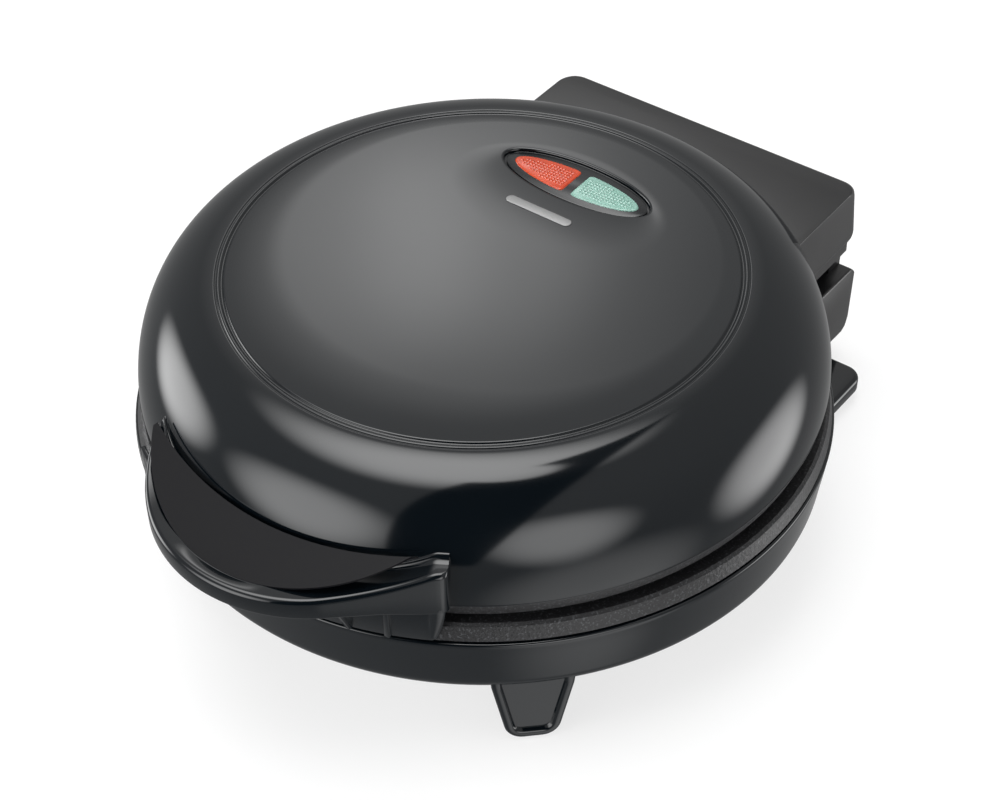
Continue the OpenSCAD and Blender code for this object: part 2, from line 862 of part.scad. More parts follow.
module lamp_bezel() {
    color("#2a2b2e") closed_lid() translate([lamp_x, lamp_y, 0]) difference() {
        union() {
            translate([0, 0, lid_h - 1.2]) linear_extrude(0.7) oval(bezel_a, bezel_b);
            translate([0, 0, lid_h - 6]) linear_extrude(5) oval(recess_a - 2.6, recess_b - 2.6);
        }
        for (sx = [-1, 1]) {
            translate([0, 0, lid_h - 8]) linear_extrude(20) lens_window(sx, 0.15);
        }
    }
}

module lens(sx) {
    closed_lid() translate([lamp_x, lamp_y, lid_h - 4]) linear_extrude(3.4) lens_window(sx, 0);
}

module power_lamp_lens() {
    color("#e2532a") lens(-1);
}

module ready_lamp_lens() {
    color("#b9e0d0") lens(1);
}

module neon_lamps() {
    color("#f2d9b0") closed_lid() translate([lamp_x, lamp_y, lid_h - 9.5]) for (sx = [-1, 1]) {
        translate([sx * 11, 0, 0]) {
            bar_x(2.6, -5, 3);
            translate([3, 0, 0]) sphere(r = 2.6, $fn = 32);
        }
    }
}

// Small board on two posts that carries the neon lamps.
module lamp_holder() {
    color("#a98d4c") closed_lid() translate([lamp_x, lamp_y, 0]) {
        translate([-22, -9, lid_h - 14]) cube([44, 18, 1.6]);
        for (x = [-20, 20]) {
            translate([x, 0, lid_h - 12.4]) cylinder(r = 2, h = 6.4 - eps);
        }
        for (x = [-15.5, -7.5, 7.5, 15.5]) {
            translate([x - 0.4, -2.6, lid_h - 12.4]) cube([0.8, 5.2, 0.3]);
        }
    }
}

trim_x = lamp_x - 0.8;
trim_y = 30.8;

// Plain bar with round ends, let onto the disc in front of the lamps.
module trim_bar() {
    color("silver") closed_lid() translate([trim_x, trim_y, lid_h])
        linear_extrude(0.25) rounded_rect(12, 1.7, 1.6);
}

module upper_plate() {
    rim_depth = skirt_z - gap;
    color("#2b2c2e") closed_lid() mirror([0, 0, 1]) {
        plate_casting(plate_r - 0.6, plate_r, rim_depth, plate_t) {
            plate_screw_spots() {
                translate([0, 0, -20]) cylinder(r = screw_r + fit, h = 40);
                translate([0, 0, -screw_head_h]) cylinder(r = screw_head_r + 0.3, h = 10);
            }
        }
        rotate_extrude($fn = 180) translate([lid_r - wall - gap - 2.8, -rim_depth - 3])
            square([2, 3 + eps]);
    }
}

upper_element_z = cup_r + element_wire_r + element_space;

module upper_element() {
    color("#7d7a74") closed_lid() translate([0, 0, upper_element_z]) element();
}

module upper_reflector() {
    color("#b9bbbd") closed_lid() translate([0, 0, upper_element_z + element_wire_r + 2])
        mirror([0, 0, 1]) reflector();
}

module lid_plate_screws() {
    length = 14;
    color("silver") closed_lid() plate_screw_spots()
        translate([0, 0, screw_head_h + length]) rotate([180, 0, 0]) {
            cylinder(r = screw_r, h = length);
            translate([0, 0, length]) cylinder(r = screw_head_r, h = screw_head_h - 0.2);
        }
}

// ---------------------------------------------------------------- nodes

base_shell();
base_rear_housing();
wiring_cover();
rear_foot();
foot_pads();
lower_plate();
lower_element();
lower_reflector();
thermostat();
thermal_fuse();
terminal_block();
cord_gland();
base_plate_screws();
rear_foot_screws();
cover_screws();
hinge_pins();
lid_shell();
lid_rear_housing();
lid_hinge_bracket();
bracket_screws();
handle();
handle_screws();
lamp_bezel();
power_lamp_lens();
ready_lamp_lens();
neon_lamps();
lamp_holder();
trim_bar();
upper_plate();
upper_element();
upper_reflector();
lid_plate_screws();
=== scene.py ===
import json
import math

import bmesh
import bpy
from mathutils import Matrix, Vector


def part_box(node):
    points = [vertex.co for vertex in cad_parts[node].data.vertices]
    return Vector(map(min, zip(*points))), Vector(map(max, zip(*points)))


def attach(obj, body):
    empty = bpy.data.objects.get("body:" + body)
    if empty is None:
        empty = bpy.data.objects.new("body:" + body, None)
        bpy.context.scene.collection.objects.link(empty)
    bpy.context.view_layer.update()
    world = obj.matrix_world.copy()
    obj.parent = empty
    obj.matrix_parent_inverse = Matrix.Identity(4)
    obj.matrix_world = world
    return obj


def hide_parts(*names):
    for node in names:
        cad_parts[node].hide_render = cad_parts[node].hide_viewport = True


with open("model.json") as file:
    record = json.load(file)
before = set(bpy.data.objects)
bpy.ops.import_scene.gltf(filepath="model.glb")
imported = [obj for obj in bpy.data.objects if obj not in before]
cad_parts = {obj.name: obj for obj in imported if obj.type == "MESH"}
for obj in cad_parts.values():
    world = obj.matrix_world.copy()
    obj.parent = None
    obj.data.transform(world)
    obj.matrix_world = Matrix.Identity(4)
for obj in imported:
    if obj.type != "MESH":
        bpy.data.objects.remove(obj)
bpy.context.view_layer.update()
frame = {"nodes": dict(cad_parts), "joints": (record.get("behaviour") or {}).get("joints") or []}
nodes = frame["nodes"]

MM = 0.001
TAU = 2 * math.pi

# ---------------------------------------------------------------- places

lower_lo, lower_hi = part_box("lower_plate")
AXIS_Y = (lower_lo.y + lower_hi.y) / 2
PLATE_Z = lower_hi.z
UPPER_R = (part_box("upper_plate")[1].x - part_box("upper_plate")[0].x) / 2 / MM
FRONT_GAP = 0.5
REAR_GAP = 6.3
LID_TILT = math.atan((REAR_GAP - FRONT_GAP) / (2 * UPPER_R))
LID_Z = PLATE_Z + (FRONT_GAP + REAR_GAP) / 2 * MM

BASE_PLACE = Matrix.Translation((0, AXIS_Y, 0)) @ Matrix.Scale(MM, 4)
LID_PLACE = (
    Matrix.Translation((0, AXIS_Y, LID_Z)) @ Matrix.Rotation(LID_TILT, 4, "X") @ Matrix.Scale(MM, 4)
)

# Sizes from here on are in mm. The lid's are in its own frame: z = 0 is the upper plate's parting face.
LID_H = 39.9
LID_R = 106.5
DISC_R = 77.4
SKIRT_Z = 5.7
SHOULDER_POWER = 2 / 2.19
SHOULDER_DROP = 36.7
WALL = 2.4
CEILING = LID_H - WALL - 0.4
LAMP_X = -0.8
LAMP_Y = 49.6
RECESS_A = 27.6
RECESS_B = 10.1


# ---------------------------------------------------------------- mesh helpers

LATHE_STEPS = 240
EDGE_STEPS = 4
WELD = 0.002
SLIVER = 0.001
SMOOTH_ANGLE = math.radians(40)
TIGHTEST_MITRE = 0.35


def bridge(rows, count, wrap=False):
    """Quads between closed rows of count points each; wrap also joins the last row to the first."""
    faces = []
    for i in range(rows if wrap else rows - 1):
        a = i * count
        b = ((i + 1) % rows) * count
        for j in range(count):
            k = (j + 1) % count
            faces.append((a + j, a + k, b + k, b + j))
    return faces


def loft(loops, wrap=False, caps=False):
    """Points and faces of a skin through closed loops that all have the same number of points."""
    count = len(loops[0])
    last = (len(loops) - 1) * count
    points = [p for loop in loops for p in loop]
    faces = bridge(len(loops), count, wrap)
    if caps:
        faces.append(tuple(range(count)))
        faces.append(tuple(last + j for j in range(count)))
    return points, faces


def oval(a, b, z, count):
    """A level ellipse of count points."""
    return [(a * math.cos(TAU * j / count), b * math.sin(TAU * j / count), z) for j in range(count)]


def lathe(profile):
    """A closed ring turned about Z from (radius, height) points."""
    return loft([oval(r, r, z, LATHE_STEPS) for r, z in profile], wrap=True)


def piece(name, geometry, place, body, material, sharp=50, bevel=0.0, segments=3):
    """Makes a closed, smooth-shaded piece from points in mm and sets it on its body."""
    points, faces = geometry
    mesh = bpy.data.meshes.new(name)
    bm = bmesh.new()
    verts = [bm.verts.new(p) for p in points]
    for face in faces:
        bm.faces.new([verts[i] for i in face])
    bmesh.ops.remove_doubles(bm, verts=bm.verts, dist=WELD)
    bmesh.ops.dissolve_degenerate(bm, edges=bm.edges, dist=SLIVER)
    bmesh.ops.recalc_face_normals(bm, faces=bm.faces)
    if bevel:
        edges = [e for e in bm.edges if e.is_manifold and e.calc_face_angle(0) > math.radians(sharp)]
        bmesh.ops.bevel(
            bm, geom=edges, offset=bevel, segments=segments, affect="EDGES", profile=0.5, clamp_overlap=True
        )
    bm.transform(place)
    bm.to_mesh(mesh)
    bm.free()
    mesh.polygons.foreach_set("use_smooth", [True] * len(mesh.polygons))
    mesh.set_sharp_from_angle(angle=SMOOTH_ANGLE)
    mesh.materials.append(material)
    thing = bpy.data.objects.new(name, mesh)
    bpy.context.scene.collection.objects.link(thing)
    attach(thing, body)
    return thing


def join(*parts):
    """Points and faces of several geometries as one."""
    points = []
    faces = []
    for more_points, more_faces in parts:
        shift = len(points)
        points += more_points
        faces += [tuple(i + shift for i in face) for face in more_faces]
    return points, faces


def move(geometry, matrix):
    """The same faces on points carried by a matrix."""
    points, faces = geometry
    return [tuple(matrix @ Vector(p)) for p in points], faces


def bezier(a, b, c, t):
    """Plan point at t on the curve from a to c that is drawn towards b."""
    return (
        (1 - t) ** 2 * a[0] + 2 * t * (1 - t) * b[0] + t * t * c[0],
        (1 - t) ** 2 * a[1] + 2 * t * (1 - t) * b[1] + t * t * c[1],
    )


def inset(points, amount):
    """A closed plan outline drawn in by amount, for an outline that runs counter-clockwise."""
    count = len(points)
    result = []
    for i in range(count):
        before = Vector(points[i - 1])
        here = Vector(points[i])
        after = Vector(points[(i + 1) % count])
        t0 = (here - before).normalized()
        t1 = (after - here).normalized()
        n = Vector((-t0.y - t1.y, t0.x + t1.x))
        if n.length < 1e-6:
            n = Vector((-t0.y, t0.x))
        n.normalize()
        scale = max(TIGHTEST_MITRE, n.dot(Vector((-t0.y, t0.x))))
        result.append(tuple(here + n * (amount / scale)))
    return result


def fillet_polygon(corners, steps=6):
    """A plan outline with rounded corners, from (x, y, radius)."""
    points = []
    count = len(corners)
    for i in range(count):
        before = Vector(corners[i - 1][:2])
        here = Vector(corners[i][:2])
        after = Vector(corners[(i + 1) % count][:2])
        radius = corners[i][2]
        if radius <= 0:
            points.append(tuple(here))
            continue
        a = (before - here).normalized()
        b = (after - here).normalized()
        half = a.angle(b) / 2
        reach = radius / math.tan(half)
        centre = here + (a + b).normalized() * (radius / math.sin(half))
        start = here + a * reach - centre
        end = here + b * reach - centre
        turn = start.angle_signed(end)
        for k in range(steps + 1):
            angle = -turn * k / steps
            spun = Vector(
                (
                    start.x * math.cos(angle) - start.y * math.sin(angle),
                    start.x * math.sin(angle) + start.y * math.cos(angle),
                )
            )
            points.append(tuple(centre + spun))
    return points


def rounded_box(half_x, low_y, high_y, radius, steps=8):
    """A counter-clockwise rectangle in plan, as wide to the left as to the right, with rounded corners."""
    places = [(half_x, low_y), (half_x, high_y), (-half_x, high_y), (-half_x, low_y)]
    return fillet_polygon([(x, y, radius) for x, y in places], steps)


def slab(outline, low, high, edge, low_edge=None):
    """A flat plate on a counter-clockwise outline, rounded by edge on top and by low_edge underneath."""
    low_edge = edge if low_edge is None else low_edge
    quarter = [math.pi / 2 * k / EDGE_STEPS for k in range(EDGE_STEPS + 1)]
    loops = []
    for a in quarter:
        z = low + low_edge * (1 - math.cos(a))
        loops.append([(x, y, z) for x, y in inset(outline, low_edge * (1 - math.sin(a)))])
    for a in quarter:
        z = high - edge * (1 - math.sin(a))
        loops.append([(x, y, z) for x, y in inset(outline, edge * (1 - math.cos(a)))])
    return loft(loops, caps=True)


# ---------------------------------------------------------------- materials


def shader(name):
    """A new node material with its tree and its main shader."""
    material = bpy.data.materials.new(name)
    material.use_nodes = True
    tree = material.node_tree
    return material, tree, tree.nodes["Principled BSDF"]


def noise(tree, scale, detail):
    """Noise in the object's own coordinates."""
    coords = tree.nodes.new("ShaderNodeTexCoord")
    texture = tree.nodes.new("ShaderNodeTexNoise")
    texture.inputs["Scale"].default_value = scale
    texture.inputs["Detail"].default_value = detail
    tree.links.new(coords.outputs["Object"], texture.inputs["Vector"])
    return texture


def spread(tree, source, low, high, target):
    """Maps a 0-1 texture onto low-high and feeds it to a socket."""
    span = tree.nodes.new("ShaderNodeMapRange")
    span.inputs["To Min"].default_value = low
    span.inputs["To Max"].default_value = high
    tree.links.new(source, span.inputs["Value"])
    tree.links.new(span.outputs["Result"], target)


def tint(tree, source, dark, light, target, start=0.0, stop=1.0):
    """Maps the part of a texture between start and stop onto two colours and feeds it to a socket."""
    ramp = tree.nodes.new("ShaderNodeValToRGB")
    ramp.color_ramp.elements[0].position = start
    ramp.color_ramp.elements[0].color = (*dark, 1)
    ramp.color_ramp.elements[1].position = stop
    ramp.color_ramp.elements[1].color = (*light, 1)
    tree.links.new(source, ramp.inputs["Fac"])
    tree.links.new(ramp.outputs["Color"], target)


def bump(tree, source, strength, distance, bsdf):
    """Raises the surface a little where a texture is bright."""
    node = tree.nodes.new("ShaderNodeBump")
    node.inputs["Strength"].default_value = strength
    node.inputs["Distance"].default_value = distance
    tree.links.new(source, node.inputs["Height"])
    tree.links.new(node.outputs["Normal"], bsdf.inputs["Normal"])


def moulded(name, dark, light, rough, ior, grain=0.0, grain_scale=900.0):
    """Moulded plastic: faint mottling in colour and roughness, and a fine grain if asked."""
    material, tree, bsdf = shader(name)
    broad = noise(tree, 35.0, 3.0)
    fine = noise(tree, grain_scale, 2.0)
    tint(tree, broad.outputs["Fac"], dark, light, bsdf.inputs["Base Color"])
    spread(tree, broad.outputs["Fac"], rough * 0.85, rough * 1.15, bsdf.inputs["Roughness"])
    bsdf.inputs["IOR"].default_value = ior
    if grain:
        bump(tree, fine.outputs["Fac"], grain, 0.0001, bsdf)
    return material


def cast_coat():
    """Non-stick coat on cast aluminium: dark, with fine pale specks and an uneven skin."""
    material, tree, bsdf = shader("cast_coat")
    specks = noise(tree, 1500.0, 2.0)
    skin = noise(tree, 900.0, 5.0)
    black = (0.010, 0.010, 0.011)
    speck = (0.050, 0.052, 0.056)
    tint(tree, specks.outputs["Fac"], black, speck, bsdf.inputs["Base Color"], start=0.56, stop=0.70)
    spread(tree, skin.outputs["Fac"], 0.30, 0.52, bsdf.inputs["Roughness"])
    bump(tree, skin.outputs["Fac"], 0.55, 0.0004, bsdf)
    bsdf.inputs["IOR"].default_value = 1.45
    return material


def metal(name, dark, light, rough, streak):
    """Plain metal with a grain that is drawn out along the axes with the smaller streak values."""
    material, tree, bsdf = shader(name)
    grain = noise(tree, 400.0, 3.0)
    stretch = tree.nodes.new("ShaderNodeMapping")
    stretch.inputs["Scale"].default_value = streak
    tree.links.new(grain.inputs["Vector"].links[0].from_socket, stretch.inputs["Vector"])
    tree.links.new(stretch.outputs["Vector"], grain.inputs["Vector"])
    tint(tree, grain.outputs["Fac"], dark, light, bsdf.inputs["Base Color"])
    spread(tree, grain.outputs["Fac"], rough * 0.8, rough * 1.25, bsdf.inputs["Roughness"])
    bsdf.inputs["Metallic"].default_value = 1.0
    return material


def lens_plastic(name, deep, pale):
    """Tinted plastic: a glossy body colour with a little light scattered inside it."""
    material, tree, bsdf = shader(name)
    cloud = noise(tree, 120.0, 2.0)
    tint(tree, cloud.outputs["Fac"], deep, pale, bsdf.inputs["Base Color"])
    spread(tree, cloud.outputs["Fac"], 0.10, 0.16, bsdf.inputs["Roughness"])
    bsdf.inputs["IOR"].default_value = 1.49
    bsdf.inputs["Subsurface Weight"].default_value = 0.25
    bsdf.inputs["Subsurface Radius"].default_value = (0.002, 0.002, 0.002)
    return material


GLOSS = moulded("gloss_black_shell", (0.0016, 0.0028, 0.0040), (0.0024, 0.0038, 0.0052), 0.09, 1.47)
SATIN = moulded("satin_black_housing", (0.006, 0.006, 0.0065), (0.009, 0.009, 0.0095), 0.30, 1.46, 0.08)
PANEL = moulded("satin_thumb_rest", (0.003, 0.003, 0.004), (0.005, 0.005, 0.006), 0.42, 1.21, 0.10)
MATTE = moulded("matte_black_cover", (0.010, 0.010, 0.011), (0.016, 0.016, 0.017), 0.6, 1.45, 0.3)
RUBBER = moulded("black_rubber", (0.012, 0.012, 0.012), (0.020, 0.020, 0.020), 0.8, 1.4, 0.5)
BEZEL = moulded("bezel_black", (0.006, 0.007, 0.008), (0.009, 0.010, 0.011), 0.18, 1.46)
CREAM = moulded("cream_ceramic", (0.60, 0.57, 0.49), (0.70, 0.67, 0.58), 0.5, 1.5, 0.2)
BOARD = moulded("resin_board", (0.30, 0.20, 0.08), (0.40, 0.28, 0.12), 0.5, 1.5, 0.2)
COAT = cast_coat()
STEEL = metal("zinc_steel", (0.42, 0.42, 0.43), (0.58, 0.58, 0.60), 0.32, (1, 1, 8))
SHEATH = metal("heater_sheath", (0.10, 0.095, 0.085), (0.20, 0.19, 0.17), 0.45, (1, 1, 1))
SHEET = metal("aluminium_sheet", (0.62, 0.63, 0.64), (0.74, 0.75, 0.76), 0.35, (1, 12, 1))
TRIM = metal("satin_trim", (0.25, 0.25, 0.25), (0.31, 0.31, 0.31), 0.45, (12, 1, 1))
RED = lens_plastic("red_lens", (0.42, 0.034, 0.006), (0.54, 0.062, 0.012))
GREEN = lens_plastic("green_lens", (0.17, 0.34, 0.28), (0.24, 0.41, 0.35))
GLOW = lens_plastic("lamp_glass", (0.8, 0.7, 0.5), (0.9, 0.8, 0.6))

CAD_LOOKS = {
    "wiring_cover": MATTE, "foot_pads": RUBBER, "cord_gland": RUBBER, "lower_element": SHEATH,
    "upper_element": SHEATH, "lower_reflector": SHEET, "upper_reflector": SHEET, "thermostat": CREAM,
    "thermal_fuse": CREAM, "terminal_block": CREAM, "base_plate_screws": STEEL, "rear_foot_screws": STEEL,
    "cover_screws": STEEL, "hinge_pins": STEEL, "bracket_screws": STEEL, "handle_screws": STEEL,
    "lid_plate_screws": STEEL, "lid_hinge_bracket": SATIN, "neon_lamps": GLOW, "lamp_holder": BOARD,
    "lower_plate": COAT, "upper_plate": COAT,
}
for node_name, look in CAD_LOOKS.items():
    mesh = nodes[node_name].data
    mesh.materials.clear()
    mesh.materials.append(look)

# ---------------------------------------------------------------- lid dome

DOME_STEPS = 288
SHOULDER_START = 4.6
SHOULDER_STEP = 2.35
SHOULDER_ROWS = 36
GROOVE_R = 76.7


def shoulder(s):
    """Radius and height of the dome's skin, s degrees round from the disc to the lower edge."""
    a = math.radians(s)
    return (
        DISC_R + (LID_R - DISC_R) * math.sin(a) ** SHOULDER_POWER,
        LID_H - SHOULDER_DROP * (1 - math.cos(a) ** SHOULDER_POWER),
    )


def circle_loop(r, z):
    """A level circle of the dome."""
    return oval(r, r, z, DOME_STEPS)


def recess_loop(grow, depth):
    """A level oval round the lamps, wider than their recess by grow and below the disc by depth."""
    return [
        (x + LAMP_X, y + LAMP_Y, z)
        for x, y, z in oval(RECESS_A + grow, RECESS_B + grow, LID_H - depth, DOME_STEPS)
    ]


def blend_loops(first, second, t):
    """The loop at t on the way from one loop to another."""
    return [tuple(Vector(a).lerp(Vector(b), t)) for a, b in zip(first, second)]


def dome():
    """The lid's shell: recess, flat disc, double groove, shoulder and skirt, then back along its inside."""
    hole = recess_loop(-2.4, 1.3)
    recess = [(-0.9, 1.3), (-0.6, 1.2), (-0.5, 0.6), (-0.3, 0.2), (0.0, 0.04), (0.5, 0.0)]
    loops = [hole] + [recess_loop(grow, depth) for grow, depth in recess]
    disc_edge = circle_loop(GROOVE_R, LID_H)
    rim = loops[-1]
    loops += [blend_loops(rim, disc_edge, t) for t in (0.2, 0.4, 0.6, 0.8)]
    groove = [
        (0.0, 0.0), (0.3, 0.03), (0.5, 0.14), (0.6, 0.35), (0.8, 0.5), (1.2, 0.52), (1.5, 0.42),
        (1.65, 0.2), (1.85, 0.08), (2.2, 0.05), (2.5, 0.07), (2.65, 0.2), (2.8, 0.34), (3.05, 0.34),
        (3.2, 0.2), (3.4, 0.12),
    ]
    loops += [circle_loop(GROOVE_R + out, LID_H - depth) for out, depth in groove]
    for k in range(SHOULDER_ROWS):
        loops.append(circle_loop(*shoulder(SHOULDER_START + SHOULDER_STEP * k)))
    for drawn, rise in [(0, 0.5), (0.1, 0.15), (0.45, 0)]:
        loops.append(circle_loop(LID_R - drawn, SKIRT_Z + rise))
    for rise in (0, 2):
        loops.append(circle_loop(LID_R - WALL, SKIRT_Z + rise))
    for s in (84, 75, 60, 45, 30, 15):
        r, z = shoulder(s)
        loops.append(circle_loop(r - WALL * 0.9, min(z - WALL * 0.6, CEILING)))
    loops.append(circle_loop(DISC_R - 4, CEILING))
    loops.append([(x, y, CEILING) for x, y, z in hole])
    return loft(loops, wrap=True)


lid_dome = piece("lid_dome", dome(), LID_PLACE, "lid", GLOSS)
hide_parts("lid_shell")

# ---------------------------------------------------------------- lamps

LENS_A = 23.2
LENS_B = 6.1
LENS_GAP = 1.5
LENS_CORNER = 1.5
LENS_CORNER_ANGLE = 0.10
LENS_TOP = LID_H - 0.35
LENS_LOW = LID_H - 3.6
LENS_EDGE = 0.55
PRISM_MARGIN = 1.25
PRISM_PITCH = 1.15
PRISM_HALF = PRISM_PITCH / 2 * 0.94
PRISM_TIP = PRISM_HALF * 0.22
PRISM_RISE = 0.30
PRISM_SINK = 0.02
BEZEL_A = 26.3
BEZEL_B = 8.9
BEZEL_TOP = LID_H - 0.7
LAMP_PLACE = LID_PLACE @ Matrix.Translation((LAMP_X, LAMP_Y, 0))


def lens_outline():
    """Counter-clockwise outline of the right-hand lens, with softened corners."""
    corner_angle = math.acos(LENS_GAP / LENS_A)
    corner_y = LENS_B * math.sin(corner_angle)
    straight_y = corner_y - LENS_CORNER
    sweep = corner_angle - LENS_CORNER_ANGLE
    angles = [-sweep + 2 * sweep * k / 40 for k in range(41)]
    arc = [(LENS_A * math.cos(t), LENS_B * math.sin(t)) for t in angles]
    pull = (LENS_GAP, corner_y - 0.05)
    corner = [bezier(arc[-1], pull, (LENS_GAP, straight_y), k / 6) for k in range(1, 6)]
    straight = [(LENS_GAP, straight_y), (LENS_GAP, 0), (LENS_GAP, -straight_y)]
    return arc + corner + straight + [(x, -y) for x, y in reversed(corner)]


def mirrored(outline):
    """The outline on the other side of x = 0, still counter-clockwise."""
    return [(-x, y) for x, y in reversed(outline)]


def inside(outline, x, y):
    """True if the point lies within the outline."""
    crossings = 0
    for k in range(len(outline)):
        x0, y0 = outline[k - 1]
        x1, y1 = outline[k]
        if (y0 > y) != (y1 > y) and x < (x1 - x0) * (y - y0) / (y1 - y0) + x0:
            crossings += 1
    return crossings % 2 == 1


def square(x, y, half, z):
    """Corners of a level square round (x, y)."""
    return [(x + half * i, y + half * j, z) for i, j in ((-1, -1), (1, -1), (1, 1), (-1, 1))]


def prism(x, y):
    """A small four-sided pyramid with a blunt tip, standing on the lens."""
    low = square(x, y, PRISM_HALF, LENS_TOP - PRISM_SINK)
    tip = square(x, y, PRISM_TIP, LENS_TOP - PRISM_SINK + PRISM_RISE)
    return loft([low, tip], caps=True)


def lens(outline):
    """One lens with a grid of prisms on its face."""
    grid = inset(outline, PRISM_MARGIN)
    columns = math.ceil(LENS_A / PRISM_PITCH)
    rows = math.ceil(LENS_B / PRISM_PITCH)
    prisms = []
    for i in range(-columns, columns + 1):
        for j in range(-rows, rows + 1):
            x = i * PRISM_PITCH
            y = j * PRISM_PITCH
            if all(inside(grid, px, py) for px, py, _ in square(x, y, PRISM_HALF * 0.9, 0)):
                prisms.append(prism(x, y))
    return join(slab(outline, LENS_LOW, LENS_TOP, LENS_EDGE), *prisms)


red = piece("power_lens", lens(mirrored(lens_outline())), LAMP_PLACE, "lid", RED)
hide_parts("power_lamp_lens")
green = piece("ready_lens", lens(lens_outline()), LAMP_PLACE, "lid", GREEN)
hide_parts("ready_lamp_lens")


def bezel():
    """Oval plate round the lenses, a little below the disc, with a softened edge."""
    edge = [(0.0, 3.0), (0.0, 0.5), (0.1, 0.15), (0.4, 0.0)]
    loops = []
    for drawn, depth in edge:
        loops.append(oval(BEZEL_A - drawn, BEZEL_B - drawn, BEZEL_TOP - depth, DOME_STEPS // 2))
    return loft(loops, caps=True)


lamp_bezel = piece("lamp_surround", bezel(), LAMP_PLACE, "lid", BEZEL)
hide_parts("lamp_bezel")

BAR_HALF_X = 12.0
BAR_HALF_Y = 1.7
BAR_CORNER = 1.6
BAR_EDGE = 0.12
BAR_LOW = LID_H - 0.05
BAR_TOP = LID_H + 0.22
BAR_X = LAMP_X - 0.8
BAR_Y = 30.8

bar = slab(rounded_box(BAR_HALF_X, -BAR_HALF_Y, BAR_HALF_Y, BAR_CORNER), BAR_LOW, BAR_TOP, BAR_EDGE)
bar = move(bar, Matrix.Translation((BAR_X, BAR_Y, 0)))
trim = piece("trim_plate", bar, LID_PLACE, "lid", TRIM)
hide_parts("trim_bar")

# ---------------------------------------------------------------- handle

REACH = 127.5
FRONT_R = 50.0
FRONT_Y = FRONT_R - REACH
FLANK = math.radians(41)
LEFT_END = math.radians(69)
END_X = 58.3
END_ROUND = 2.4
HANDLE_Z = 7.5
ENDS_DROP = 1.2
ENDS_FROM = 22
ENDS_FADE = 8
UNDER_ROUND = 0.7
LIP_Z = 14.2
LIP_Y = -122.0
LIP_CURVE = 52.0
LIP_TOP = 21.3
LIP_ROUND = 1.6
LIP_ROUND_LEAST = 0.25
LIP_ROUND_SHARE = 0.45
REST_Y = -121.0
REST_Z = 13.8
REST_SLOPE = 0.36
REST_LEVEL_Y = REST_Y - 1.5
PANEL_REACH = 122.2
PANEL_R = 54.0
PANEL_INNER = 105.6
FILLET_OUT = 0.55
FILLET_LOW = 0.6
FILLET_HIGH = 5.2
SUNK = 0.9
HAIR = 0.02


def front_arc(angle):
    """Plan point of the handle's round front, at an angle from its foremost point."""
    return Vector((FRONT_R * math.sin(angle), FRONT_Y - FRONT_R * math.cos(angle)))


FLANK_POINT = front_arc(FLANK)
END_Y = FLANK_POINT.y + (END_X - FLANK_POINT.x) * math.tan(FLANK)
FIN_AIM = (END_X - 7.0, -83)
FIN_STOP = Vector((END_X - 2.5, -89.4))


def smooth_step(t):
    """Rises softly from 0 to 1 as t does, and is level outside them."""
    t = min(1.0, max(0.0, t))
    return t * t * (3 - 2 * t)


def skin_radius(z):
    """Radius of the dome's skin at a height."""
    cosine = max(0.0, 1 - (LID_H - z) / SHOULDER_DROP) ** (1 / SHOULDER_POWER)
    return DISC_R + (LID_R - DISC_R) * (1 - cosine * cosine) ** (SHOULDER_POWER / 2)


def lip_height(y):
    """Top of the outer wall: it climbs towards the lid in a curve and then stays level."""
    climb = min(LIP_CURVE - 1, max(0.0, y - LIP_Y))
    return min(LIP_TOP, LIP_Z + LIP_CURVE - math.sqrt(LIP_CURVE ** 2 - climb ** 2))


def rest_height(y):
    """Upper face of the thumb rest: it falls towards the front and is level at the very front."""
    return REST_Z + REST_SLOPE * (max(REST_LEVEL_Y, y) - REST_Y)


def handle_path():
    """Plan points of the outer edge: from the lid's left, round the front, to the fin at its right."""
    points = [front_arc(-LEFT_END * k / 72) for k in range(72, 0, -1)]
    points += [front_arc(FLANK * k / 40) for k in range(41)]
    corner = [(*FLANK_POINT, 0), (END_X, END_Y, END_ROUND), (*FIN_AIM, 0)]
    turn = [Vector(p) for p in fillet_polygon(corner, 10)]
    points += [FLANK_POINT.lerp(turn[1], k / 24) for k in range(1, 24)]
    points += turn[1:-1]
    points += [turn[-2].lerp(FIN_STOP, k / 4) for k in range(1, 5)]
    return points


def wall_low(p):
    """Underside of the outer wall: level in front, lower where the ends reach down beside the plates."""
    angle = math.degrees(math.atan2(abs(p.x), -p.y))
    return HANDLE_Z - ENDS_DROP * smooth_step((angle - ENDS_FROM) / ENDS_FADE)


def panel_edge(point, inward):
    """Distance from an outer point, along its section, at which the thumb panel begins."""
    centre = Vector((0, PANEL_R - PANEL_REACH))
    to_centre = centre - point
    along = to_centre.dot(inward)
    off = to_centre.length_squared - along * along
    return along - math.sqrt(max(0.0, PANEL_R ** 2 - off))


